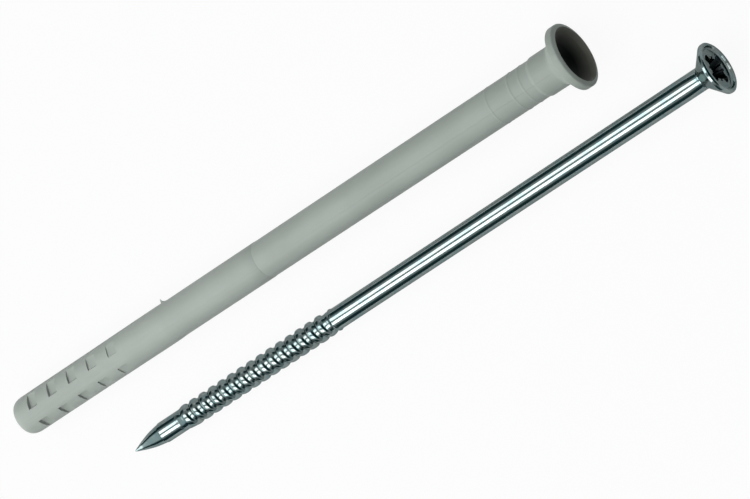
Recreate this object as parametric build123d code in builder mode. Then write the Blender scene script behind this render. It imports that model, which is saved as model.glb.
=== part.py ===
"""Nail plug: a moulded plastic sleeve with a countersunk collar, and the threaded
nail that is driven into it. The two lie side by side on a flat surface.

Each piece is drawn along its own axis, from its tip towards its head. Stations
are distances along that axis. Sizes are in millimetres and angles in degrees.
"""

import os
from math import atan2, cos, degrees, radians, sin, tan

from build123d import *

# Nail: lengths, radii and thread
nail_length = 144.7
shank_radius = 2.08
point_length = 7.8
point_mid_radius = 1.34
point_tip_radius = 0.12
thread_start = 12.4
thread_end = 53.3
thread_pitch = 2.54
thread_core_radius = 1.96
thread_crest_radius = 2.40
thread_crest_width = 0.80
thread_crest_shift = 0.10
thread_tip_flank = 0.64
thread_head_flank = 0.35
thread_foot_depth = 0.12
thread_run_in = 1.6
thread_run_out = 3.6
thread_first_crest = 12.93
core_step_length = 0.35

# Nail: countersunk head
head_radius = 4.94
head_edge = 0.70
head_cone_angle = 45.0
head_front_chamfer = 0.32
rim_inner_radius = 4.25
rim_wall_radius = 3.95
rim_wall_depth = 0.40
dish_radius = 3.40
head_dish_depth = 0.60

# Nail: cross recess in the head
recess_turn = 24.0
recess_depth = 2.7
wing_reach = 2.95
wing_reach_bottom = 1.30
wing_width = 1.55
wing_width_bottom = 1.00
recess_core_radius = 1.95
recess_core_bottom = 1.0
rib_groove_reach = 2.35
rib_groove_width = 0.45
rib_groove_depth = 1.1

# Sleeve: lengths along the axis
sleeve_length = 140.0
nose_length = 1.8
first_joint = 40.5
second_joint = 64.5
neck_length = 8.1
neck_step_length = 0.35
rim_width = 1.54
rim_dome = 0.22

# Sleeve: radii
nose_face_radius = 3.05
expansion_radius = 3.81
middle_radius = 3.74
body_radius = 3.65
neck_radius = 3.91
rim_radius = 6.27
flare_angle = 45.0
flare_root_round = 0.7
flare_crest_round = 0.5
rim_front_chamfer = 0.28
lip_flat = 0.16

# Sleeve: beads round the body below the neck, measured back from the front
bead_setbacks = (10.35, 12.85, 17.95)
bead_width = 0.62
bead_top_width = 0.26
bead_height = 0.08

# Sleeve: bore and cup
bore_clearance = 0.10
cup_clearance = 0.16
cup_extra_depth = 0.30
expansion_bore_radius = 1.70
expansion_bore_length = 44.0
bore_taper_length = 3.0

# Sleeve: grip notches in the expansion zone, in rows beside the two moulding seams
notch_count = 5
notch_start = 4.3
notch_pitch = 5.45
notch_length = 2.25
notch_ledge_offset = 1.39
notch_floor_lean = 36.0
notch_floor_distance = 3.08
notch_floor_rise = 0.085
seam_turn = 9.5

# Sleeve: the two expansion slots, a quarter turn from the seams
slot_start = 5.0
slot_end = 35.0
slot_width = 0.8

# How the two pieces lie beside each other
nail_lead = 15.8
tip_spacing = 16.8
nail_yaw = 0.6

# Head form, worked out from the sizes above
head_cone_length = (head_radius - shank_radius) / tan(radians(head_cone_angle))
head_cone_start = nail_length - head_edge - head_cone_length

# Sleeve form, worked out from the nail that it takes
bore_radius = thread_crest_radius + bore_clearance
cup_radius = head_radius + cup_clearance
cup_depth = head_edge + cup_extra_depth
cup_cone_length = (cup_radius - bore_radius) / tan(radians(head_cone_angle))
seat_station = sleeve_length - cup_depth - cup_cone_length
rim_start = sleeve_length - rim_dome - rim_width
flare_start = rim_start - (rim_radius - neck_radius) / tan(radians(flare_angle))
neck_start = sleeve_length - neck_length
notch_lean = radians(notch_floor_lean)

# Each piece touches the surface near its tip and with its head, so its axis
# rises a little towards the head
sleeve_rise = atan2(rim_radius - expansion_radius, rim_start - nose_length)
sleeve_tip_height = expansion_radius * cos(sleeve_rise) - nose_length * sin(sleeve_rise)
nail_contact = thread_first_crest + thread_pitch / 2
nail_head_contact = nail_length - head_edge
nail_rise = atan2(head_radius - thread_crest_radius, nail_head_contact - nail_contact)
nail_tip_height = thread_crest_radius * cos(nail_rise) - nail_contact * sin(nail_rise)

# The origin is the middle of the outline on the surface
nail_reach = nail_length * cos(nail_rise)
head_side_offset = nail_reach * sin(radians(nail_yaw))
back_end = -nose_face_radius * sin(sleeve_rise)
front_end = nail_lead + nail_reach * cos(radians(nail_yaw)) + head_radius * sin(nail_rise)
near_side = head_side_offset - tip_spacing - head_radius
middle_x = (back_end + front_end) / 2
middle_y = (rim_radius + near_side) / 2


def lying_frame(tip, rise, yaw, turn):
    """Plane at a piece's tip: its normal runs along the axis to the head, its x points
    up and is then turned about the axis."""
    axis = Vector(cos(rise) * cos(yaw), cos(rise) * sin(yaw), sin(rise))
    side = Vector(-sin(yaw), cos(yaw), 0)
    x_dir = axis.cross(side) * cos(turn) - side * sin(turn)
    return Plane(origin=tip, x_dir=x_dir, z_dir=axis)


def section_plane(frame):
    """Plane through the axis: its x runs along the axis and its y points outwards."""
    return Plane(origin=frame.origin, x_dir=frame.z_dir, z_dir=frame.y_dir)


sleeve_tip = Vector(-middle_x, -middle_y, sleeve_tip_height)
sleeve_frame = lying_frame(sleeve_tip, sleeve_rise, 0, radians(seam_turn))
sleeve_section = section_plane(sleeve_frame)
sleeve_axis = Axis(sleeve_frame.origin, sleeve_frame.z_dir)

nail_tip = Vector(nail_lead - middle_x, -tip_spacing - middle_y, nail_tip_height)
nail_frame = lying_frame(nail_tip, nail_rise, radians(nail_yaw), 0)
nail_section = section_plane(nail_frame)
nail_axis = Axis(nail_frame.origin, nail_frame.z_dir)

# Sleeve wall: one section from the nose to the collar's lip and back down the bore
wall_corners = [
    ((nose_length, expansion_radius), 0),
    ((first_joint, expansion_radius), 0),
    ((first_joint, middle_radius), 0),
    ((second_joint, middle_radius), 0),
    ((second_joint, body_radius), 0),
    ((neck_start, body_radius), 0),
    ((neck_start + neck_step_length, neck_radius), 0),
    ((flare_start, neck_radius), flare_root_round),
    ((rim_start, rim_radius), flare_crest_round),
    ((sleeve_length - rim_dome - rim_front_chamfer, rim_radius), 0),
    ((sleeve_length - rim_dome, rim_radius - rim_front_chamfer), 0),
    ((sleeve_length, cup_radius + 2 * lip_flat), 0),
    ((sleeve_length, cup_radius + lip_flat), 0),
    ((sleeve_length - lip_flat, cup_radius), 0),
    ((sleeve_length - cup_depth, cup_radius), 0),
    ((seat_station, bore_radius), 0),
    ((expansion_bore_length + bore_taper_length, bore_radius), 0),
    ((expansion_bore_length, expansion_bore_radius), 0),
    ((0, expansion_bore_radius), 0),
    ((0, nose_face_radius), 0),
]

with BuildPart() as plug_sleeve:
    with BuildSketch(sleeve_section):
        with BuildLine():
            FilletPolyline(
                *[corner for corner, rounding in wall_corners],
                radius=[rounding for corner, rounding in wall_corners[1:-1]],
            )
            TangentArc(
                (nose_length, expansion_radius), (0, nose_face_radius), tangent=(-1, 0)
            )
        make_face()
        for setback in bead_setbacks:
            with Locations((sleeve_length - setback, body_radius)):
                Polygon(
                    (-bead_width / 2, -bead_height),
                    (-bead_width / 2, 0),
                    (-bead_top_width / 2, bead_height),
                    (bead_top_width / 2, bead_height),
                    (bead_width / 2, 0),
                    (bead_width / 2, -bead_height),
                    align=None,
                )
    revolve(axis=sleeve_axis)

    # Grip notches: a straight ledge beside each seam and a flat floor that leans away from it
    for index in range(notch_count):
        floor_distance = notch_floor_distance + index * notch_floor_rise
        ledge_foot = (floor_distance - notch_ledge_offset * sin(notch_lean)) / cos(notch_lean)
        floor_end = ledge_foot - (rim_radius - notch_ledge_offset) * tan(notch_lean)
        with BuildSketch(sleeve_frame.offset(notch_start + index * notch_pitch)):
            Polygon(
                (ledge_foot, notch_ledge_offset),
                (rim_radius, notch_ledge_offset),
                (rim_radius, rim_radius),
                (floor_end, rim_radius),
                align=None,
            )
            mirror(about=Plane.XZ)
            mirror(about=Plane.YZ)
        extrude(amount=notch_length, mode=Mode.SUBTRACT)

    # Expansion slots: one blade cut through both walls, closed at each end
    with BuildSketch(sleeve_section):
        with Locations(((slot_start + slot_end) / 2, 0)):
            SlotOverall(slot_end - slot_start, slot_width)
    extrude(amount=rim_radius, both=True, mode=Mode.SUBTRACT)

plug_sleeve.part.label = "plug_sleeve"

# Thread: one ridge on a right-hand helix, faded out at both ends; its flank towards the
# head is steeper, so that the nail goes in easily and holds
thread_path_start = thread_first_crest - thread_pitch
thread_path_length = thread_end - thread_path_start
thread_height = thread_crest_radius - thread_core_radius
crest_tip_side = thread_crest_width / 2 + thread_crest_shift
crest_head_side = thread_crest_width / 2 - thread_crest_shift
foot_share = 1 + thread_foot_depth / thread_height

with BuildPart() as thread_ridge:
    with BuildLine() as thread_path:
        Helix(
            pitch=thread_pitch,
            height=thread_path_length,
            radius=thread_core_radius,
            center=nail_frame.from_local_coords(Vector(0, 0, thread_path_start)),
            direction=nail_frame.z_dir,
        )
    path_origin = thread_path.line @ 0
    path_centre = nail_frame.from_local_coords(Vector(0, 0, thread_path_start))
    with BuildSketch(
        Plane(origin=path_origin, x_dir=path_origin - path_centre, z_dir=thread_path.line % 0)
    ):
        Polygon(
            (-thread_foot_depth, -crest_head_side - thread_head_flank * foot_share),
            (thread_height, -crest_head_side),
            (thread_height, crest_tip_side),
            (-thread_foot_depth, crest_tip_side + thread_tip_flank * foot_share),
            align=None,
        )
    sweep(path=thread_path.line, is_frenet=True)
    with BuildSketch(nail_section):
        with BuildLine():
            Polyline(
                (thread_start, 0),
                (thread_start, thread_core_radius),
                (thread_start + thread_run_in, thread_crest_radius + 0.02),
                (thread_end - thread_run_out, thread_crest_radius + 0.02),
                (thread_end, thread_core_radius),
                (thread_end, 0),
                close=True,
            )
        make_face()
    revolve(axis=nail_axis, mode=Mode.INTERSECT)

# Nail: point, smooth nose, thread core, plain shank and countersunk head
with BuildPart() as nail_screw:
    with BuildSketch(nail_section):
        with BuildLine():
            ThreePointArc(
                (0, point_tip_radius),
                (point_length / 2, point_mid_radius),
                (point_length, shank_radius),
            )
            Polyline(
                (point_length, shank_radius),
                (thread_start, shank_radius),
                (thread_start + core_step_length, thread_core_radius),
                (thread_end - core_step_length, thread_core_radius),
                (thread_end, shank_radius),
                (head_cone_start, shank_radius),
                (nail_length - head_edge, head_radius),
                (nail_length - head_front_chamfer, head_radius),
                (nail_length, head_radius - head_front_chamfer),
                (nail_length, rim_inner_radius),
                (nail_length - rim_wall_depth, rim_wall_radius),
                (nail_length - head_dish_depth, dish_radius),
                (nail_length - head_dish_depth, 0),
                (0, 0),
                (0, point_tip_radius),
            )
        make_face()
    revolve(axis=nail_axis)
    add(thread_ridge.part)

    # Cross recess: two tapered blades, a tapered core, and small grooves between the wings
    dish_face = nail_frame.offset(nail_length - head_dish_depth)
    recess_floor = dish_face.offset(-recess_depth)
    for turn in (recess_turn, recess_turn + 90):
        with BuildSketch(dish_face):
            Rectangle(2 * wing_reach, wing_width, rotation=turn)
        with BuildSketch(recess_floor):
            Rectangle(2 * wing_reach_bottom, wing_width_bottom, rotation=turn)
        loft(mode=Mode.SUBTRACT)
    with BuildSketch(dish_face):
        Circle(recess_core_radius)
    with BuildSketch(recess_floor):
        Circle(recess_core_bottom)
    loft(mode=Mode.SUBTRACT)
    for turn in (recess_turn + 45, recess_turn + 135):
        with BuildSketch(dish_face):
            Rectangle(2 * rib_groove_reach, rib_groove_width, rotation=turn)
        with BuildSketch(dish_face.offset(-rib_groove_depth)):
            Rectangle(2 * recess_core_bottom, rib_groove_width, rotation=turn)
        loft(mode=Mode.SUBTRACT)

nail_screw.part.label = "nail_screw"

os.makedirs("parts", exist_ok=True)
export_step(plug_sleeve.part, "parts/plug_sleeve.step")
export_step(nail_screw.part, "parts/nail_screw.step")
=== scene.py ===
"""Nail plug: a grey plastic sleeve with a countersunk collar, and its threaded steel nail."""

from math import acos, asin, atan2, ceil, cos, degrees, hypot, pi, radians, sin, sqrt, tan

import bmesh
import bpy
from bpy.props import FloatProperty, FloatVectorProperty, IntProperty, PointerProperty
from bpy.types import Operator, Panel, PropertyGroup
from mathutils import Matrix, Vector


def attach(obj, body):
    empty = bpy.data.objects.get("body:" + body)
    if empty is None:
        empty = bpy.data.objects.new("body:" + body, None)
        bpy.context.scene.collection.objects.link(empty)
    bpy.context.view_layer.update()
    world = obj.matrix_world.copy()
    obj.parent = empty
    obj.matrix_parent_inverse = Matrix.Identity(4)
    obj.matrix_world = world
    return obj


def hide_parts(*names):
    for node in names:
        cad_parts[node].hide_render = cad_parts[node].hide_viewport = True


bl_info = {
    "name": "Nail Plug",
    "version": (1, 0, 0),
    "blender": (4, 5, 0),
    "location": "View3D > Sidebar > Nail Plug",
    "description": "Builds a nail plug: plastic sleeve, threaded nail and studio stage",
    "category": "Object",
}

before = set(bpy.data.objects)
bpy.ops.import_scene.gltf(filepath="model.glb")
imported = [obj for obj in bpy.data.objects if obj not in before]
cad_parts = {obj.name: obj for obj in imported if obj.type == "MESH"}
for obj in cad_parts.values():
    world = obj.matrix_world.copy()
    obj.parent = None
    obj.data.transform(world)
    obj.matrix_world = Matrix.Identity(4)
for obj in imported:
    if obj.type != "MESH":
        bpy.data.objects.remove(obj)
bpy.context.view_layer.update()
MM = 0.001

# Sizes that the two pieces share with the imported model, in millimetres
SLEEVE_LENGTH = 140.0
SLEEVE_RADIUS = 3.81
RIM_RADIUS = 6.27
RIM_BACK = 138.24
NOSE_LENGTH = 1.8
NOSE_FLAT_RADIUS = 3.05
NAIL_LENGTH = 144.7
HEAD_RADIUS = 4.94
HEAD_BACK = 144.0
THREAD_RADIUS = 2.40
THREAD_CONTACT = 14.2
NAIL_LEAD = 15.8
TIP_SPACING = 16.8
NAIL_YAW = radians(0.6)
SEAM_TURN = 9.5


# Places of the two pieces
def lying_axes():
    """Places of the sleeve and of the nail: both lie on the floor, centred together on the origin."""
    rise = atan2(RIM_RADIUS - SLEEVE_RADIUS, RIM_BACK - NOSE_LENGTH)
    sleeve_height = SLEEVE_RADIUS * cos(rise) - NOSE_LENGTH * sin(rise)
    nail_rise = atan2(HEAD_RADIUS - THREAD_RADIUS, HEAD_BACK - THREAD_CONTACT)
    nail_height = THREAD_RADIUS * cos(nail_rise) - THREAD_CONTACT * sin(nail_rise)
    reach = NAIL_LENGTH * cos(nail_rise)
    near_side = reach * sin(NAIL_YAW) - TIP_SPACING - HEAD_RADIUS
    front = NAIL_LEAD + reach * cos(NAIL_YAW) + HEAD_RADIUS * sin(nail_rise)
    middle = ((front - NOSE_FLAT_RADIUS * sin(rise)) / 2, (RIM_RADIUS + near_side) / 2)
    sleeve = placed((-middle[0], -middle[1], sleeve_height), rise, 0.0)
    nail = placed((NAIL_LEAD - middle[0], -TIP_SPACING - middle[1], nail_height), nail_rise, NAIL_YAW)
    return sleeve, nail


def placed(tip, rise, yaw):
    """Matrix from a piece's own millimetres (x along its axis, y to the side, z up) to the scene."""
    axis = Vector((cos(rise) * cos(yaw), cos(rise) * sin(yaw), sin(rise)))
    side = Vector((-sin(yaw), cos(yaw), 0.0))
    up = axis.cross(side)
    matrix = Matrix((axis, side, up)).transposed().to_4x4()
    matrix.translation = Vector(tip)
    return Matrix.Scale(MM, 4) @ matrix


SLEEVE_PLACE, NAIL_PLACE = lying_axes()


# Profiles and meshes
def rounded(points, steps=6):
    """Open profile through (station, radius, rounding) points, with arcs at the rounded corners."""
    line = []
    for index, (x, y, rounding) in enumerate(points):
        if rounding <= 0 or index in (0, len(points) - 1):
            line.append((x, y))
            continue
        here = Vector((x, y))
        back = (Vector(points[index - 1][:2]) - here).normalized()
        ahead = (Vector(points[index + 1][:2]) - here).normalized()
        half = back.angle(ahead) / 2
        reach = min(rounding / tan(half), 0.49 * (Vector(points[index - 1][:2]) - here).length,
                    0.49 * (Vector(points[index + 1][:2]) - here).length)
        start, end = here + back * reach, here + ahead * reach
        radius = reach * tan(half)
        centre = here + (back + ahead).normalized() * (radius / sin(half))
        first, last = start - centre, end - centre
        sweep = first.angle_signed(last)
        for step in range(steps + 1):
            turned = first.copy()
            turned.rotate(Matrix.Rotation(-sweep * step / steps, 2))
            line.append(tuple(centre + turned))
    return line


def spaced(line, gap_at):
    """Adds points to a profile so that no gap is longer than gap_at(station)."""
    out = [line[0]]
    for (x0, y0), (x1, y1) in zip(line, line[1:]):
        length = hypot(x1 - x0, y1 - y0)
        count = max(1, int(length / gap_at((x0 + x1) / 2) + 0.999))
        out += [(x0 + (x1 - x0) * k / count, y0 + (y1 - y0) * k / count) for k in range(1, count + 1)]
    return out


def smooth_step(value):
    """Soft ramp from 0 to 1 as the value goes from 0 to 1."""
    value = min(1.0, max(0.0, value))
    return value * value * (3 - 2 * value)


def bridge(bm, first, second):
    """Faces between two rings with the same number of vertices."""
    count = len(first)
    for k in range(count):
        after = (k + 1) % count
        bm.faces.new((first[k], first[after], second[after], second[k]))


def lathe(rows, angles, radius_at, place, name, turn=0.0, closed=True, caps=()):
    """Mesh of revolution: rows of (station, radius), with radius_at(row, station, radius, degrees)."""
    bm = bmesh.new()
    grid = []
    for row, (station, radius) in enumerate(rows):
        ring = []
        for angle in angles:
            r = radius_at(row, station, radius, angle)
            a = radians(angle + turn)
            ring.append(bm.verts.new(place @ Vector((station, -r * sin(a), r * cos(a)))))
        grid.append(ring)
    pairs = list(zip(grid, grid[1:]))
    if closed:
        pairs.append((grid[-1], grid[0]))
    for lower, upper in pairs:
        bridge(bm, lower, upper)
    columns = len(angles)
    for row in caps:
        station, _ = rows[row]
        middle = bm.verts.new(place @ Vector((station, 0.0, 0.0)))
        ring = grid[row]
        for column in range(columns):
            after = (column + 1) % columns
            order = (ring[after], ring[column], middle) if row == 0 else (ring[column], ring[after], middle)
            bm.faces.new(order)
    bmesh.ops.recalc_face_normals(bm, faces=bm.faces[:])
    return finished_mesh(bm, name)


def finished_mesh(bm, name):
    """Mesh data made from the edit mesh, which is freed."""
    mesh = bpy.data.meshes.new(name)
    bm.to_mesh(mesh)
    bm.free()
    return mesh


def even_angles(count):
    """Equal steps round a full circle, in degrees."""
    return [360.0 * k / count for k in range(count)]


def add_piece(mesh, name, material, body, sharp):
    """Object of the mesh, on its body; edges over the sharp angle stay crisp."""
    piece = bpy.data.objects.new(name, mesh)
    bpy.context.scene.collection.objects.link(piece)
    mesh.materials.append(material)
    mesh.shade_smooth()
    mesh.set_sharp_from_angle(angle=radians(sharp))
    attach(piece, body)
    return piece


def cut_away(piece, cutter):
    """Cuts the cutter's volume out of the piece and removes the cutter."""
    modifier = piece.modifiers.new("cut", "BOOLEAN")
    modifier.operation = "DIFFERENCE"
    modifier.solver = "EXACT"
    modifier.object = cutter
    modifier.material_mode = "TRANSFER"
    depsgraph = bpy.context.evaluated_depsgraph_get()
    result = bpy.data.meshes.new_from_object(piece.evaluated_get(depsgraph))
    old = piece.data
    piece.modifiers.clear()
    piece.data = result
    result.name = old.name
    bpy.data.meshes.remove(old)
    bpy.data.objects.remove(cutter)


# Materials
# Painted light along the sleeve: brighter at the tip, painted shade towards the collar, over this span of
# scene x
PAINTED_FALLOFF_SPAN = (-0.03, 0.05)
TIP_PAINTED_LIGHT = (1.03, 1.03, 1.03)
COLLAR_PAINTED_SHADE = (0.91, 0.92, 0.91)
# Painted shade inside the sleeve: colour at the lip, share of the plastic's colour deep in, and the ramp's
# depths from the lip
INSIDE_SHADE_NEAR = (0.16, 0.155, 0.13)
INSIDE_SHADE_DEEP_SHARE = 0.004
INSIDE_SHADE_FROM_LIP = (0.0026, 0.0001)
STEEL_EDGE_TINT = (0.50, 0.54, 0.53, 1.0)
COOL_PATCH = (0.19, 0.28, 0.30)
# Painted shade for the recess's walls: two dark tones that vary at random
RECESS_SHADE_TONES = (0.018, 0.022, 0.026), (0.06, 0.07, 0.07)


class Nodes:
    """Short hand for the node tree of a material or of the room."""

    def __init__(self, owner):
        owner.use_nodes = True
        self.owner = owner
        self.tree = owner.node_tree
        self.shader = self.tree.nodes.get("Principled BSDF")

    def add(self, kind):
        return self.tree.nodes.new(kind)

    def link(self, source, target):
        self.tree.links.new(source, target)


def noise(nodes, coords, scale, detail=3.0, rough=0.5, stretch=None):
    """Noise value, stretched along the axes where a stretch is given."""
    source = coords
    if stretch:
        mapping = nodes.add("ShaderNodeMapping")
        mapping.inputs["Scale"].default_value = stretch
        nodes.link(coords, mapping.inputs["Vector"])
        source = mapping.outputs["Vector"]
    node = nodes.add("ShaderNodeTexNoise")
    node.inputs["Scale"].default_value = scale
    node.inputs["Detail"].default_value = detail
    node.inputs["Roughness"].default_value = rough
    nodes.link(source, node.inputs["Vector"])
    return node.outputs["Fac"]


def ranged(nodes, value, low, high, to_low=0.0, to_high=1.0, soft=False):
    """The value's range low to high, taken to another range by a straight or a soft ramp."""
    node = nodes.add("ShaderNodeMapRange")
    if soft:
        node.interpolation_type = "SMOOTHSTEP"
    node.inputs["From Min"].default_value = low
    node.inputs["From Max"].default_value = high
    node.inputs["To Min"].default_value = to_low
    node.inputs["To Max"].default_value = to_high
    nodes.link(value, node.inputs["Value"])
    return node.outputs["Result"]


def computed(nodes, operation, *values):
    """Result of a calculation with sockets or numbers."""
    node = nodes.add("ShaderNodeMath")
    node.operation = operation
    for socket, value in zip(node.inputs, values):
        if isinstance(value, bpy.types.NodeSocket):
            nodes.link(value, socket)
        else:
            socket.default_value = value
    return node.outputs[0]


def blended(nodes, factor, first, second):
    """Mix of two colours, each a socket or three numbers."""
    node = nodes.add("ShaderNodeMix")
    node.data_type = "RGBA"
    nodes.link(factor, node.inputs["Factor"])
    for socket, colour in ((node.inputs["A"], first), (node.inputs["B"], second)):
        if isinstance(colour, bpy.types.NodeSocket):
            nodes.link(colour, socket)
        else:
            socket.default_value = (*colour, 1.0)
    return node.outputs["Result"]


def bumped(nodes, height, distance, strength=1.0, normal=None):
    """Surface direction with small bumps, on top of another one where it is given."""
    node = nodes.add("ShaderNodeBump")
    node.inputs["Distance"].default_value = distance
    node.inputs["Strength"].default_value = strength
    nodes.link(height, node.inputs["Height"])
    if normal:
        nodes.link(normal, node.inputs["Normal"])
    return node.outputs["Normal"]


def moulded_plastic(settings):
    """Grey moulded plastic: satin, a little cloudy, with faint flow streaks, and painted light that is
    brighter at the tip and darker towards the collar.
    """
    nodes = Nodes(bpy.data.materials.new("moulded_plastic"))
    coords = nodes.add("ShaderNodeTexCoord").outputs["Object"]
    colour = Vector(settings.colour)
    cloud = noise(nodes, coords, 90.0, 3.0, 0.55)
    streak = noise(nodes, coords, 700.0, 2.0, 0.6, (0.05, 1.0, 1.0))
    clouded = ranged(nodes, cloud, 0.3, 0.7)
    tone = blended(nodes, clouded, tuple(colour * 0.94), tuple(colour * 1.05))
    tone = blended(nodes, ranged(nodes, streak, 0.35, 0.75, 0.0, 0.30), tone, tuple(colour * 0.88))
    # Painted light and shade along the sleeve: brighter at the tip, darker towards the collar
    split = nodes.add("ShaderNodeSeparateXYZ")
    nodes.link(coords, split.inputs[0])
    along = ranged(nodes, split.outputs[0], *PAINTED_FALLOFF_SPAN)
    painted_falloff = blended(nodes, along, TIP_PAINTED_LIGHT, COLLAR_PAINTED_SHADE)
    product = nodes.add("ShaderNodeVectorMath")
    product.operation = "MULTIPLY"
    nodes.link(tone, product.inputs[0])
    nodes.link(painted_falloff, product.inputs[1])
    nodes.link(product.outputs[0], nodes.shader.inputs["Base Color"])
    rough = ranged(nodes, cloud, 0.25, 0.75, settings.roughness - 0.05, settings.roughness + 0.05)
    nodes.link(rough, nodes.shader.inputs["Roughness"])
    nodes.shader.inputs["IOR"].default_value = 1.5
    nodes.shader.inputs["Specular IOR Level"].default_value = 0.28
    grain = noise(nodes, coords, 5200.0, 2.0, 0.6)
    normal = bumped(nodes, grain, 0.00001, 0.35)
    normal = bumped(nodes, noise(nodes, coords, 420.0, 3.0, 0.5, (0.35, 1.0, 1.0)), 0.00005, 0.30, normal)
    nodes.link(normal, nodes.shader.inputs["Normal"])
    return nodes.owner


def painted_shade_plastic(settings):
    """The sleeve's inside: the same plastic with painted shade, duller and darker the further in it lies."""
    nodes = Nodes(bpy.data.materials.new("painted_shade_plastic"))
    coords = nodes.add("ShaderNodeTexCoord").outputs["Object"]
    split = nodes.add("ShaderNodeSeparateXYZ")
    nodes.link(coords, split.inputs[0])
    lip = (SLEEVE_PLACE @ Vector((SLEEVE_LENGTH, 0.0, 0.0))).x
    deepest, nearest = INSIDE_SHADE_FROM_LIP
    depth = ranged(nodes, split.outputs[0], lip - deepest, lip - nearest)
    deep = tuple(Vector(settings.colour) * INSIDE_SHADE_DEEP_SHARE)
    nodes.link(blended(nodes, depth, deep, INSIDE_SHADE_NEAR), nodes.shader.inputs["Base Color"])
    nodes.shader.inputs["Roughness"].default_value = 0.55
    nodes.shader.inputs["Specular IOR Level"].default_value = 0.15
    return nodes.owner


def zinc_plated_steel(settings):
    """Bright zinc-plated steel: drawn lengthwise, with fine scratches and cool tone changes."""
    nodes = Nodes(bpy.data.materials.new("zinc_plated_steel"))
    coords = nodes.add("ShaderNodeTexCoord").outputs["Object"]
    colour = Vector(settings.colour)
    nodes.shader.inputs["Metallic"].default_value = 1.0
    nodes.shader.inputs["Specular Tint"].default_value = STEEL_EDGE_TINT
    patch = noise(nodes, coords, 160.0, 4.0, 0.6)
    drawn = noise(nodes, coords, 2600.0, 3.0, 0.6, (0.02, 1.0, 1.0))
    patched = ranged(nodes, patch, 0.3, 0.7)
    tone = blended(nodes, patched, tuple(colour * 0.90), tuple(colour * 1.10))
    cool = noise(nodes, coords, 520.0, 3.0, 0.6)
    tone = blended(nodes, ranged(nodes, cool, 0.42, 0.66, 0.0, 0.65), tone, COOL_PATCH)
    nodes.link(tone, nodes.shader.inputs["Base Color"])
    rough = ranged(nodes, drawn, 0.3, 0.8, settings.roughness - 0.03, settings.roughness + 0.09)
    nodes.link(rough, nodes.shader.inputs["Roughness"])
    normal = bumped(nodes, drawn, 0.000004, 0.5)
    normal = bumped(nodes, noise(nodes, coords, 1500.0, 3.0, 0.6), 0.000006, 0.35, normal)
    nodes.link(normal, nodes.shader.inputs["Normal"])
    return nodes.owner


def recess_painted_shade_steel():
    """The recess's walls: punched steel, dull, and painted dark as painted shade deep in the recess."""
    nodes = Nodes(bpy.data.materials.new("recess_painted_shade_steel"))
    coords = nodes.add("ShaderNodeTexCoord").outputs["Object"]
    nodes.shader.inputs["Metallic"].default_value = 1.0
    patch = noise(nodes, coords, 900.0, 3.0, 0.6)
    tone = blended(nodes, ranged(nodes, patch, 0.35, 0.7), *RECESS_SHADE_TONES)
    nodes.link(tone, nodes.shader.inputs["Base Color"])
    nodes.link(ranged(nodes, patch, 0.3, 0.7, 0.22, 0.42), nodes.shader.inputs["Roughness"])
    return nodes.owner


# User settings
class NailPlugSleeveSettings(PropertyGroup):
    colour: FloatVectorProperty(name="Colour", description="Colour of the plastic", subtype="COLOR",
                                default=(0.345, 0.372, 0.342), min=0.0, max=1.0)
    roughness: FloatProperty(name="Roughness", description="Roughness of the plastic", subtype="FACTOR",
                             default=0.48, min=0.1, max=1.0)
    columns: IntProperty(name="Columns", description="Faces round the sleeve", default=220, min=48, max=480)
    seam_height: FloatProperty(name="Seam height", description="Height of the moulding seam in millimetres",
                               default=0.022, min=0.0, max=0.1)


class NailPlugNailSettings(PropertyGroup):
    colour: FloatVectorProperty(name="Colour", description="Colour of the zinc plating", subtype="COLOR",
                                default=(0.30, 0.345, 0.335), min=0.0, max=1.0)
    roughness: FloatProperty(name="Roughness", description="Roughness of the plating", subtype="FACTOR",
                             default=0.085, min=0.02, max=0.6)
    columns: IntProperty(name="Columns", description="Faces round the nail", default=160, min=32, max=240)


class NailPlugStageSettings(PropertyGroup):
    floor_colour: FloatVectorProperty(name="Floor colour", description="Colour of the floor", subtype="COLOR",
                                      default=(0.62, 0.62, 0.62), min=0.0, max=1.0)
    panel_brightness: FloatProperty(name="Panel brightness", description="Brightness of the two light panels",
                                    default=3.6, min=0.0, max=50.0)
    room_brightness: FloatProperty(name="Room brightness", description="Brightness of the surrounding room",
                                   default=0.50, min=0.0, max=5.0)
    lens: FloatProperty(name="Lens", description="Focal length in millimetres", default=171.6, min=20.0,
                        max=400.0)


# Sleeve; outlines are tables of (station, radius, rounding) in millimetres, with stations from tip to head
BARREL = (
    (NOSE_LENGTH, 3.81, 0), (20.0, 3.80, 0), (36.5, 3.85, 3.0), (39.9, 3.83, 1.0), (41.3, 3.75, 1.0),
    (64.4, 3.745, 0), (64.55, 3.66, 0.02), (64.75, 3.69, 0.02), (100.0, 3.71, 0),
)
BODY_RADIUS = 3.70
BEADS = ((122.05, 0.045), (127.15, 0.055), (129.65, 0.055))
BEAD_SHAPE = ((-0.26, 0, 0.16), (-0.06, 1, 0.14), (0.06, 1, 0.14), (0.30, 0, 0.16))
NECK_AND_COLLAR = (
    (131.60, BODY_RADIUS, 0.2), (132.25, 3.91, 0.3), (136.42, 3.91, 0.9), (138.02, 5.62, 1.1),
    (138.34, 6.27, 0.14), (139.70, 6.27, 0.35), (139.99, 5.62, 0.30), (140.0, 5.45, 0.0),
)
CUP_AND_BORE = (
    (140.0, 5.45, 0.0), (139.93, 5.34, 0.08), (138.95, 5.08, 0.30), (136.4, 2.50, 0.40), (48.0, 2.50, 2.0),
    (44.0, 1.70, 2.0), (0.25, 1.70, 0.0), (0.0, 1.95, 0.0),
)
NOSE_FACE_RADIUS = 3.25
NOSE_STEPS = 12
NOTCH_ZONE_END = 29.5
PLAIN_END = 119.0
FINE_GAP = 0.6
PLAIN_GAP = 3.0
NOTCH_START = 4.3
NOTCH_PITCH = 5.45
NOTCH_LENGTH = 2.25
NOTCH_COUNT = 5
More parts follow.
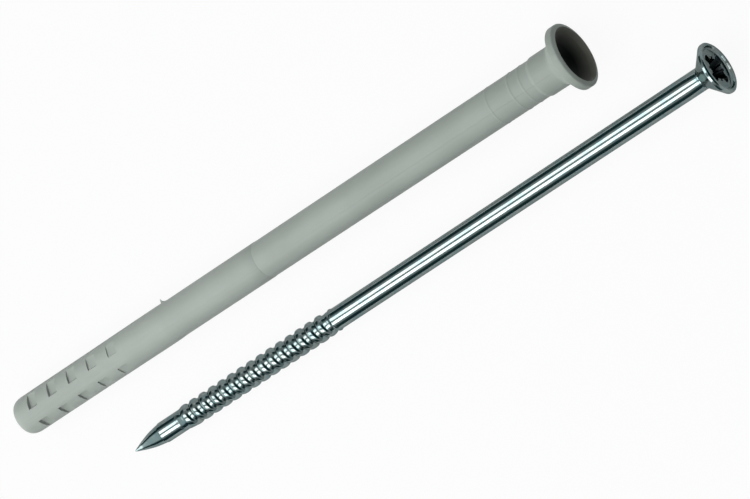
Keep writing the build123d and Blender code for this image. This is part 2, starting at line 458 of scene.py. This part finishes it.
NOTCH_LEDGE = 1.39
NOTCH_LEAN = 36.0
NOTCH_FLOOR = 3.08
NOTCH_RISE = 0.115
SAME_ROW = 0.009
NOTCH_WALL = 0.05
NOTCH_WALL_ROWS = (-0.03, 0.0, 0.02, NOTCH_WALL)
SEAM_START = 2.0
SEAM_END = 136.0
SEAM_HALF_ANGLE = 1.5
SEAM_COLUMNS = (0.0, 0.55, 1.1, 1.7)
SLOT_START = 5.0
SLOT_END = 35.0
SLOT_WIDTH = 0.8
SLOT_REACH = 5.0
SLOT_ROUND_STEPS = 12
FLASH_ROOT = 3.76
FLASH_HALF_WIDTH = 0.13
FLASH_EDGE = (
    (40.22, -0.15), (40.36, 0.35), (40.48, 0.78), (40.58, 0.76), (40.66, 0.42), (40.84, 0.20), (41.15, 0.07),
    (41.60, -0.02), (41.60, -0.15),
)
INWARD_SHARE = 0.3
SLEEVE_BOW = 0.07
SLEEVE_SHARP = 32.0


def sleeve_profile():
    """Outer rows from the nose to the lip, then inner rows from the cup to the nose."""
    nose = []
    for step in range(NOSE_STEPS + 1):
        x = NOSE_LENGTH * (1 - cos(pi / 2 * step / NOSE_STEPS))
        y = NOSE_FACE_RADIUS + (SLEEVE_RADIUS - NOSE_FACE_RADIUS) * sqrt(1 - (1 - x / NOSE_LENGTH) ** 2)
        nose.append((x, y))
    outer = list(BARREL)
    for middle, height in BEADS:
        outer += [(middle + offset, BODY_RADIUS + height * share, rounding)
                  for offset, share, rounding in BEAD_SHAPE]
    outer += NECK_AND_COLLAR

    def gap(station):
        return PLAIN_GAP if NOTCH_ZONE_END <= station < PLAIN_END else FINE_GAP

    rows = nose + spaced(rounded(outer, 4), gap)[1:]
    outer_count = len(rows)
    rows += spaced(rounded(CUP_AND_BORE, 4), lambda station: 4.0 if station < 135 else FINE_GAP)[1:]
    return rows, outer_count


def with_notch_rows(rows, outer_count):
    """Extra rows at each notch's ends, so that their walls stand straight."""
    outer = rows[:outer_count]
    for index in range(NOTCH_COUNT):
        start = NOTCH_START + index * NOTCH_PITCH
        for end, direction in ((start, 1), (start + NOTCH_LENGTH, -1)):
            for offset in NOTCH_WALL_ROWS:
                station = end + direction * offset
                outer = [row for row in outer if abs(row[0] - station) > SAME_ROW]
                before = max((row for row in outer if row[0] < station), key=lambda row: row[0])
                after = min((row for row in outer if row[0] > station), key=lambda row: row[0])
                share = (station - before[0]) / (after[0] - before[0])
                outer.append((station, before[1] + (after[1] - before[1]) * share))
                outer.sort(key=lambda row: row[0])
    return outer + rows[outer_count:], len(outer)


def sleeve_angles(columns):
    """Angles round the sleeve, about even, with the edges of the notches and seams among them."""
    ledge = degrees(asin(NOTCH_LEDGE / SLEEVE_RADIUS))
    lean = radians(NOTCH_LEAN)
    quarter = {*SEAM_COLUMNS, 90.0, ledge - 0.4, ledge}
    for index in range(NOTCH_COUNT):
        floor = NOTCH_FLOOR + index * NOTCH_RISE
        foot = (floor - NOTCH_LEDGE * sin(lean)) / cos(lean)
        quarter.add(degrees(atan2(NOTCH_LEDGE, foot)))
        quarter.add(NOTCH_LEAN + degrees(acos(floor / SLEEVE_RADIUS)))
    fixed = sorted(quarter)
    step = 360.0 / columns
    filled = []
    for low, high in zip(fixed, fixed[1:]):
        count = max(1, ceil((high - low) / step - 0.2))
        filled += [low + (high - low) * k / count for k in range(count)]
    angles = filled + [90.0] + [180.0 - a for a in reversed(filled[1:])]
    return angles + [a + 180.0 for a in angles]


def off_seam(angle):
    """Angle from the nearest of the two seams, in degrees."""
    return abs((angle + 90.0) % 180.0 - 90.0)


def notch_radius(station, radius, angle):
    """Radius of the sleeve's outside where a notch may cut it; angle 0 is a moulding seam."""
    index = int((station - NOTCH_START + 0.5) // NOTCH_PITCH)
    if not 0 <= index < NOTCH_COUNT:
        return radius
    start = NOTCH_START + index * NOTCH_PITCH
    inside = min(station - start, start + NOTCH_LENGTH - station)
    if inside <= 0.0:
        return radius
    folded = off_seam(angle)
    a = radians(folded)
    if sin(a) * radius < NOTCH_LEDGE - 0.002:
        return radius
    off = radians(folded - NOTCH_LEAN)
    floor = (NOTCH_FLOOR + index * NOTCH_RISE) / cos(off)
    cut = max(floor, NOTCH_LEDGE / sin(a))
    depth = min(1.0, 0.9 + 0.1 * inside / NOTCH_WALL) if inside < NOTCH_WALL else 1.0
    return radius + (min(radius, cut) - radius) * depth


def build_sleeve(settings):
    """The plastic sleeve with its notches, seams, slots and burr."""
    rows, outer_count = sleeve_profile()
    rows, outer_count = with_notch_rows(rows, outer_count)

    def radius_at(row, station, radius, angle):
        if row >= outer_count:
            return radius
        seam = off_seam(angle)
        if seam < SEAM_HALF_ANGLE and SEAM_START < station < SEAM_END:
            share = smooth_step(SEAM_HALF_ANGLE - seam)
            radius += settings.seam_height * share * (0.6 + 0.9 * smooth_step((station - 60.0) / 40.0))
        return notch_radius(station, radius, angle)

    angles = sleeve_angles(settings.columns)
    mesh = lathe(rows, angles, radius_at, SLEEVE_PLACE, "plastic_sleeve", turn=SEAM_TURN)
    piece = add_piece(mesh, "plastic_sleeve", moulded_plastic(settings), "root", sharp=SLEEVE_SHARP)
    # Faces inside the sleeve get painted shade, darker the further in
    paint_inside_shade(piece, painted_shade_plastic(settings))
    cut_slots(piece)
    add_flash(piece.data)
    bow(piece.data)
    piece.data.set_sharp_from_angle(angle=radians(SLEEVE_SHARP))
    # The nail beside the sleeve doesn't mirror it
    piece.visible_glossy = False
    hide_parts("plug_sleeve")
    return piece


def paint_inside_shade(piece, material):
    """Gives the faces that look at the sleeve's axis the inside material, with its painted shade."""
    piece.data.materials.append(material)
    own = SLEEVE_PLACE.inverted()
    for face in piece.data.polygons:
        middle = own @ face.center
        outward = (own.to_3x3() @ face.normal).normalized()
        if middle.y * outward.y + middle.z * outward.z < -INWARD_SHARE * hypot(middle.y, middle.z):
            face.material_index = 1


def add_flash(mesh):
    """A small moulding burr on the far side, its tip towards the nose."""
    bm = bmesh.new()
    bm.from_mesh(mesh)
    sides = []
    for half in (FLASH_HALF_WIDTH, -FLASH_HALF_WIDTH):
        places = [Vector((station, FLASH_ROOT + rise, half * (1.0 - 0.75 * max(0.0, rise))))
                  for station, rise in FLASH_EDGE]
        sides.append([bm.verts.new(SLEEVE_PLACE @ place) for place in places])
    bridge(bm, *sides)
    bm.faces.new(sides[0][::-1])
    bm.faces.new(sides[1])
    bmesh.ops.recalc_face_normals(bm, faces=bm.faces[-len(FLASH_EDGE) - 2:])
    bm.to_mesh(mesh)
    bm.free()
    mesh.shade_smooth()


def bow(mesh):
    """The sleeve lies very slightly bowed towards the far side."""
    own = SLEEVE_PLACE.inverted()
    for vertex in mesh.vertices:
        share = (own @ vertex.co).x / SLEEVE_LENGTH
        vertex.co.y += SLEEVE_BOW * MM * sin(pi * min(1.0, max(0.0, share)))


def cut_slots(piece):
    """The two expansion slots, a quarter turn from the seams."""
    half = SLOT_WIDTH / 2
    turn = radians(SEAM_TURN)
    out = Vector((0.0, -cos(turn), -sin(turn)))
    across = Vector((0.0, -sin(turn), cos(turn)))
    bm = bmesh.new()
    outline = []
    for centre, first in ((SLOT_START + half, 90), (SLOT_END - half, 270)):
        for step in range(SLOT_ROUND_STEPS + 1):
            a = radians(first + 180 * step / SLOT_ROUND_STEPS)
            outline.append((centre + half * cos(a), half * sin(a)))
    rings = []
    for reach in (-SLOT_REACH, SLOT_REACH):
        rings.append([bm.verts.new(SLEEVE_PLACE @ (Vector((x, 0, 0)) + across * y + out * reach))
                      for x, y in outline])
    bridge(bm, *rings)
    bm.faces.new(rings[0][::-1])
    bm.faces.new(rings[1])
    bmesh.ops.recalc_face_normals(bm, faces=bm.faces[:])
    cutter = bpy.data.objects.new("slot_cutter", finished_mesh(bm, "slot_cutter"))
    bpy.context.scene.collection.objects.link(cutter)
    cut_away(piece, cutter)


# Nail; its point is a table of (station, radius), the rest of (station, radius, rounding)
THREAD_START = 12.4
THREAD_END = 53.3
THREAD_PITCH = 2.54
THREAD_CORE = 1.96
THREAD_FIRST = 12.93
RING_LINES = (12.75, 13.12)
RING_DEPTH = 0.035
RING_HALF_WIDTH = 0.09
RING_FLANK = 0.06
RAMP_START = 13.3
RAMP_LENGTH = 1.7
RAMP_END = RAMP_START + RAMP_LENGTH
RAMP_BELOW_CREST = 0.10
THREAD_ROWS = 440
SHANK = 2.10
COLLAR_RING = 2.13
HEAD_RING = 2.14
NAIL_SHARP = 28.0
POINT = (
    (0.0, 0.10), (0.25, 0.20), (0.7, 0.37), (1.6, 0.66), (2.5, 0.96), (3.5, 1.235), (4.4, 1.47), (5.3, 1.66),
    (6.2, 1.80), (7.2, 1.94), (7.70, 2.00), (7.76, 2.01), (7.84, 2.09), (7.92, SHANK), (THREAD_START, SHANK),
)
SHANK_AND_HEAD = (
    (THREAD_END, SHANK, 0), (THREAD_END + 0.10, COLLAR_RING, 0.05), (THREAD_END + 0.30, COLLAR_RING, 0.05),
    (THREAD_END + 0.42, SHANK, 0.05), (140.85, SHANK, 0.0), (140.95, HEAD_RING, 0.04),
    (141.15, HEAD_RING, 0.05), (HEAD_BACK - 0.04, HEAD_RADIUS, 0.22), (144.42, HEAD_RADIUS, 0.14),
    (144.70, 4.62, 0.20), (144.70, 4.24, 0.06), (144.28, 4.10, 0.06), (144.10, 3.80, 0.12),
    (144.10, 3.30, 0.0),
)
RECESS_TURN = 24.0
RECESS_TOP = (3.10, 0.80, 2.08, 2.45, 0.24, RECESS_TURN)
RECESS_BOTTOM = (1.75, 0.55, 1.35, 1.38, 0.15, RECESS_TURN)
RECESS_DEPTH = 2.6
RECESS_CONE = 0.45
DISC_DEPTH = 0.60
CUTTER_RISE = 0.3
CUTTER_FLARE = 1.03
WING_SHOULDER = 0.22
WING_CORNER = 0.06


def nail_profile():
    """Rows from the point to the sunk disc of the head; the thread's rows are close together."""
    line = spaced(POINT, lambda station: 0.4)
    length = THREAD_END - THREAD_START
    line += [(THREAD_START + length * k / THREAD_ROWS, SHANK) for k in range(1, THREAD_ROWS + 1)]
    line += spaced(rounded(SHANK_AND_HEAD, 6), lambda station: 3.0 if station < 140 else 0.4)[1:]
    return line


HALF_PITCH = THREAD_PITCH / 2
FORM_BLUR = 0.10
FORM_TAPS = 3
FORM_STEPS = 254
FORM_CORNERS = (
    (-HALF_PITCH, 0.0), (-1.12, 0.0), (-0.52, 0.94), (-0.10, 1.0), (0.30, 0.93), (0.68, 0.03), (0.98, 0.0),
    (HALF_PITCH, 0.0),
)


def thread_form(offset):
    """Share of the thread's height at a distance from the crest; minus is towards the tip."""
    total = 0.0
    for k in range(-FORM_TAPS, FORM_TAPS + 1):
        place = (offset + FORM_BLUR * k / FORM_TAPS + HALF_PITCH) % THREAD_PITCH - HALF_PITCH
        for (x0, y0), (x1, y1) in zip(FORM_CORNERS, FORM_CORNERS[1:]):
            if x0 <= place <= x1:
                total += y0 + (y1 - y0) * (place - x0) / (x1 - x0)
                break
    return total / (2 * FORM_TAPS + 1)


FORM = [thread_form(-HALF_PITCH + THREAD_PITCH * k / FORM_STEPS) for k in range(FORM_STEPS)]


def thread_radius(station, angle):
    """Radius in the threaded part; angle is in degrees from the top towards the near side."""
    turns = (station - THREAD_FIRST) / THREAD_PITCH - angle / 360.0 + 0.5
    place = (turns % 1.0) * FORM_STEPS
    low_index = int(place) % FORM_STEPS
    share = place - int(place)
    form = FORM[low_index] * (1 - share) + FORM[(low_index + 1) % FORM_STEPS] * share
    if station < RAMP_START:
        inside = min(abs(station - middle) for middle in RING_LINES)
        return SHANK - RING_DEPTH * smooth_step((RING_HALF_WIDTH - inside) / RING_FLANK)
    fade = min(smooth_step((station - RAMP_START) / 1.9), smooth_step((THREAD_END - station) / 2.6))
    deep = min(smooth_step((station - RAMP_END) / 0.7), smooth_step((THREAD_END - station) / 0.5))
    height = THREAD_RADIUS - RAMP_BELOW_CREST - SHANK
    ramp = SHANK + height * smooth_step((station - RAMP_START) / RAMP_LENGTH)
    low = ramp + (THREAD_CORE - ramp) * deep
    return low + (THREAD_RADIUS - low) * fade * form


def build_nail(settings):
    """The steel nail with its thread and recess."""
    rows = nail_profile()

    def radius_at(row, station, radius, angle):
        return thread_radius(station, angle) if THREAD_START < station < THREAD_END else radius

    mesh = lathe(rows, even_angles(settings.columns), radius_at, NAIL_PLACE, "steel_nail", closed=False,
                 caps=(0, len(rows) - 1))
    piece = add_piece(mesh, "steel_nail", zinc_plated_steel(settings), "root", sharp=NAIL_SHARP)
    cut_recess(piece)
    piece.data.set_sharp_from_angle(angle=radians(NAIL_SHARP))
    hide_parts("nail_screw")
    return piece


def recess_cutter(outline_top, outline_bottom, top, depth):
    """Closed tapered cutter between two outlines of the same count, on the head's face."""
    bm = bmesh.new()
    upper = [bm.verts.new(NAIL_PLACE @ Vector((top + CUTTER_RISE, -x * CUTTER_FLARE, y * CUTTER_FLARE)))
             for x, y in outline_top]
    face = [bm.verts.new(NAIL_PLACE @ Vector((top, -x, y))) for x, y in outline_top]
    lower = [bm.verts.new(NAIL_PLACE @ Vector((top - depth, -x, y))) for x, y in outline_bottom]
    centre = bm.verts.new(NAIL_PLACE @ Vector((top - depth - RECESS_CONE, 0.0, 0.0)))
    bridge(bm, upper, face)
    bridge(bm, face, lower)
    bm.faces.new(upper)
    count = len(lower)
    for k in range(count):
        bm.faces.new((lower[k], lower[(k + 1) % count], centre))
    bmesh.ops.recalc_face_normals(bm, faces=bm.faces[:])
    cutter = bpy.data.objects.new("recess_cutter", finished_mesh(bm, "recess_cutter"))
    # The cut walls get the recess's painted shade
    cutter.data.materials.append(recess_painted_shade_steel())
    bpy.context.scene.collection.objects.link(cutter)
    return cutter


def cross_outline(reach, half_width, core, groove_reach, groove_half, turn):
    """Outline of a cross: four wings, a round core, and a small groove between each two wings."""
    outline = []
    for wing in range(4):
        base = radians(turn + 90 * wing)
        along = Vector((sin(base), cos(base)))
        across = Vector((along.y, -along.x))
        root = sqrt(core ** 2 - half_width ** 2)
        shoulder, corner = reach - WING_SHOULDER, reach - WING_CORNER
        for u, v in ((root, -half_width), (shoulder, -half_width), (corner, -half_width * 0.75), (reach, 0.0),
                     (corner, half_width * 0.75), (shoulder, half_width), (root, half_width)):
            outline.append(along * u + across * v)
        middle = radians(turn + 90 * wing + 45)
        out = Vector((sin(middle), cos(middle)))
        side = Vector((out.y, -out.x))
        near = sqrt(core ** 2 - groove_half ** 2)
        for u, v in ((near, -groove_half), (groove_reach, -groove_half), (groove_reach, groove_half),
                     (near, groove_half)):
            outline.append(out * u + side * v)
    return [tuple(place) for place in outline]


def cut_recess(piece):
    """The recess, cut into the head's sunk disc."""
    top = cross_outline(*RECESS_TOP)
    bottom = cross_outline(*RECESS_BOTTOM)
    cut_away(piece, recess_cutter(top, bottom, NAIL_LENGTH - DISC_DEPTH, RECESS_DEPTH))


# Stage, lights and camera
FLOOR_RADIUS = 6.0
FLOOR_SEGMENTS = 96
FLOOR_DROP = 0.00002
GLOW_TO_CAMERA = 0.93
GLOW_TO_GLOSS = 0.12
PANEL_SIZE = (0.45, 0.24)
PANEL_DISTANCE = 0.62
PANEL_LEAN = 22.0
PANELS = (("panel_far", 21.5, 0.86), ("panel_near", -21.0, 1.12))
TIP_SIDE_COLOUR = (0.70, 0.82, 0.84)
DARK_COLOUR = (0.02, 0.055, 0.06)
WINDOW_COLOUR = (3.0, 3.0, 3.0)
STRIP_COLOUR = (3.6, 3.6, 3.6)
CAMERA_PLACE = (0.317097, -0.0013025, 0.56897)
CAMERA_DOWN, CAMERA_SWING, CAMERA_ROLL = radians(61.02), radians(0.211), radians(-123.25)


def build_stage(settings):
    """Floor, room, light panels and camera."""
    scene = bpy.context.scene
    scene.view_settings.view_transform = "Standard"
    bm = bmesh.new()
    bmesh.ops.create_circle(bm, cap_ends=True, segments=FLOOR_SEGMENTS, radius=FLOOR_RADIUS)
    floor_mesh = finished_mesh(bm, "floor")
    floor = bpy.data.objects.new("floor", floor_mesh)
    scene.collection.objects.link(floor)
    floor.location.z = -FLOOR_DROP
    floor_mesh.materials.append(pale_floor(settings))
    scene.world = grey_room(settings)
    for name, tilt, share in PANELS:
        add_panel(name, tilt, settings.panel_brightness * share)
    add_camera(settings)


def pale_floor(settings):
    """White floor that keeps a soft shadow; it glows where the camera sees it, and a little in a gloss."""
    nodes = Nodes(bpy.data.materials.new("pale_floor"))
    nodes.shader.inputs["Base Color"].default_value = (*settings.floor_colour, 1.0)
    nodes.shader.inputs["Roughness"].default_value = 0.9
    nodes.shader.inputs["Specular IOR Level"].default_value = 0.1
    glow = nodes.add("ShaderNodeEmission")
    glow.inputs["Color"].default_value = (1.0, 1.0, 1.0, 1.0)
    glow.inputs["Strength"].default_value = 1.0
    path = nodes.add("ShaderNodeLightPath").outputs
    glossy = computed(nodes, "MAXIMUM", path["Is Glossy Ray"], path["Is Transmission Ray"])
    glossy_share = computed(nodes, "MULTIPLY", glossy, GLOW_TO_GLOSS)
    share = computed(nodes, "MULTIPLY_ADD", path["Is Camera Ray"], GLOW_TO_CAMERA, glossy_share)
    mix = nodes.add("ShaderNodeMixShader")
    nodes.link(share, mix.inputs["Fac"])
    nodes.link(nodes.shader.outputs[0], mix.inputs[1])
    nodes.link(glow.outputs[0], mix.inputs[2])
    nodes.link(mix.outputs[0], nodes.tree.nodes["Material Output"].inputs["Surface"])
    return nodes.owner


def grey_room(settings):
    """Grey room: dark low down at both sides and past the heads, lighter past the tips and overhead."""
    nodes = Nodes(bpy.data.worlds.new("grey_room"))
    split = nodes.add("ShaderNodeSeparateXYZ")
    nodes.link(nodes.add("ShaderNodeTexCoord").outputs["Generated"], split.inputs[0])

    def above(value, low, high):
        return ranged(nodes, value, low, high, 0.0, 1.0, soft=True)

    def below(value, low, high, least=0.0):
        return ranged(nodes, value, low, high, 1.0, least, soft=True)

    def multiplied(product, *others):
        for other in others:
            product = computed(nodes, "MULTIPLY", product, other)
        return product

    # x along the pieces; across and height as parts of the direction round their axes
    x, y, z = split.outputs
    round_axis = computed(nodes, "SQRT", computed(nodes, "ADD", multiplied(y, y), multiplied(z, z)))
    across = computed(nodes, "DIVIDE", y, round_axis)
    height = computed(nodes, "DIVIDE", z, round_axis)
    side = computed(nodes, "ABSOLUTE", y)
    far = multiplied(above(across, 0.57, 0.75), below(height, 0.46, 0.71), below(x, -0.36, -0.10))
    near = multiplied(below(across, -0.71, -0.51), below(height, 0.48, 0.75), below(x, -0.25, 0.05))
    past_heads = multiplied(above(x, 0.15, 0.45), below(side, 0.45, 0.75, 0.3))
    sides = computed(nodes, "MAXIMUM", far, near)
    strips = multiplied(above(side, 0.06, 0.12), below(side, 0.52, 0.60), above(x, 0.0, 0.06),
                        below(x, 0.22, 0.30), above(z, 0.3, 0.5))
    grey = settings.room_brightness
    colour = (grey * 0.94, grey, grey)
    for zone, zone_colour in (
        (below(x, -0.80, -0.60), TIP_SIDE_COLOUR),
        (computed(nodes, "MAXIMUM", sides, past_heads), DARK_COLOUR),
        (below(x, -0.95, -0.91), WINDOW_COLOUR),
        (strips, STRIP_COLOUR),
    ):
        colour = blended(nodes, zone, colour, zone_colour)
    nodes.link(colour, nodes.tree.nodes["Background"].inputs["Color"])
    return nodes.owner


def add_panel(name, tilt, brightness):
    """Light panel above the pieces: tilted about their axes, and leaning back towards their tips."""
    lamp = bpy.data.lights.new(name, "AREA")
    lamp.shape = "RECTANGLE"
    lamp.size, lamp.size_y = PANEL_SIZE
    lamp.energy = brightness * pi * PANEL_SIZE[0] * PANEL_SIZE[1]
    piece = bpy.data.objects.new(name, lamp)
    bpy.context.scene.collection.objects.link(piece)
    a, b = radians(tilt), radians(PANEL_LEAN)
    towards = Vector((-sin(b), cos(b) * sin(a), cos(b) * cos(a)))
    x_axis = (Vector((1, 0, 0)) - towards * towards.x).normalized()
    y_axis = towards.cross(x_axis)
    matrix = Matrix((x_axis, y_axis, towards)).transposed().to_4x4()
    matrix.translation = towards * PANEL_DISTANCE
    piece.matrix_world = matrix
    return piece


def add_camera(settings):
    """Camera high up at the head end, rolled so that the pieces lie from lower left to upper right."""
    down, swing, roll = CAMERA_DOWN, CAMERA_SWING, CAMERA_ROLL
    ahead = Vector((-cos(down) * cos(swing), -cos(down) * sin(swing), -sin(down)))
    level = ahead.cross(Vector((0, 0, 1))).normalized()
    above = level.cross(ahead)
    right = level * cos(roll) + above * sin(roll)
    up = above * cos(roll) - level * sin(roll)
    data = bpy.data.cameras.new("camera")
    data.lens = settings.lens
    data.sensor_width = 36.0
    data.sensor_fit = "HORIZONTAL"
    data.clip_start = 0.05
    data.clip_end = 50.0
    camera = bpy.data.objects.new("camera", data)
    bpy.context.scene.collection.objects.link(camera)
    matrix = Matrix((right, up, -ahead)).transposed().to_4x4()
    matrix.translation = Vector(CAMERA_PLACE)
    camera.matrix_world = matrix
    bpy.context.scene.camera = camera


# Operators and panel
class NAILPLUG_OT_sleeve(Operator):
    """Build the plastic sleeve"""

    bl_idname = "nailplug.sleeve"
    bl_label = "Build sleeve"

    def execute(self, context):
        build_sleeve(context.scene.nailplug_sleeve)
        return {"FINISHED"}


class NAILPLUG_OT_nail(Operator):
    """Build the threaded nail"""

    bl_idname = "nailplug.nail"
    bl_label = "Build nail"

    def execute(self, context):
        build_nail(context.scene.nailplug_nail)
        return {"FINISHED"}


class NAILPLUG_OT_stage(Operator):
    """Build the floor, the lights and the camera"""

    bl_idname = "nailplug.stage"
    bl_label = "Build stage"

    def execute(self, context):
        build_stage(context.scene.nailplug_stage)
        return {"FINISHED"}


class NAILPLUG_PT_panel(Panel):
    """Lists the pieces of the nail plug"""

    bl_idname = "NAILPLUG_PT_panel"
    bl_label = "Nail Plug"
    bl_space_type = "VIEW_3D"
    bl_region_type = "UI"
    bl_category = "Nail Plug"

    def draw(self, context):
        layout = self.layout
        scene = context.scene
        for operator, group, names in (
            ("nailplug.sleeve", scene.nailplug_sleeve, ("colour", "roughness", "columns", "seam_height")),
            ("nailplug.nail", scene.nailplug_nail, ("colour", "roughness", "columns")),
            ("nailplug.stage", scene.nailplug_stage,
             ("floor_colour", "panel_brightness", "room_brightness", "lens")),
        ):
            box = layout.box()
            for name in names:
                box.prop(group, name)
            box.operator(operator)


CLASSES = (
    NailPlugSleeveSettings, NailPlugNailSettings, NailPlugStageSettings, NAILPLUG_OT_sleeve, NAILPLUG_OT_nail,
    NAILPLUG_OT_stage, NAILPLUG_PT_panel,
)


def register():
    for item in CLASSES:
        bpy.utils.register_class(item)
    bpy.types.Scene.nailplug_sleeve = PointerProperty(type=NailPlugSleeveSettings)
    bpy.types.Scene.nailplug_nail = PointerProperty(type=NailPlugNailSettings)
    bpy.types.Scene.nailplug_stage = PointerProperty(type=NailPlugStageSettings)


def unregister():
    del bpy.types.Scene.nailplug_stage
    del bpy.types.Scene.nailplug_nail
    del bpy.types.Scene.nailplug_sleeve
    for item in reversed(CLASSES):
        bpy.utils.unregister_class(item)


def main():
    register()
    bpy.ops.nailplug.stage()
    bpy.ops.nailplug.sleeve()
    bpy.ops.nailplug.nail()


if __name__ == "__main__":
    main()
